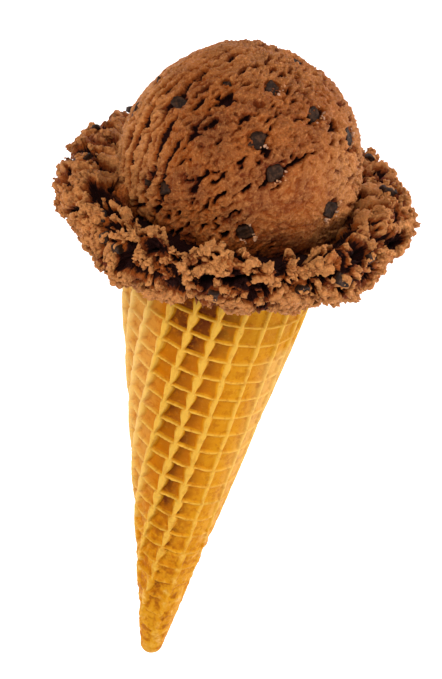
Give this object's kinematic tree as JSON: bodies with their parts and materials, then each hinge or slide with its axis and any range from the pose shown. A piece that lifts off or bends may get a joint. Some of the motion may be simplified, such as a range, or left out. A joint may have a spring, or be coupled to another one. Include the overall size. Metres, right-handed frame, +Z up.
{
  "type": "ice cream cone",
  "caption": "Scoop of chocolate ice cream with chocolate pieces and a craggy collar on a rolled waffle-patterned sugar cone, lying on its side.",
  "frame": {"origin": "on the floor that the cone lies on, under the middle of the object's box", "axes": "+Y along the floor from the cone's tip towards the scoop, +Z up through the side that shows, +X to the right seen from above with the scoop away from the viewer"},
  "size_m": [0.0934, 0.168, 0.081],
  "materials": {
    "wafer": "matte",
    "ice_cream": "matte"
  },
  "bodies": {
    "root": {"wafer_cone": "wafer", "ice_cream": "ice_cream"}
  },
  "joints": []
}
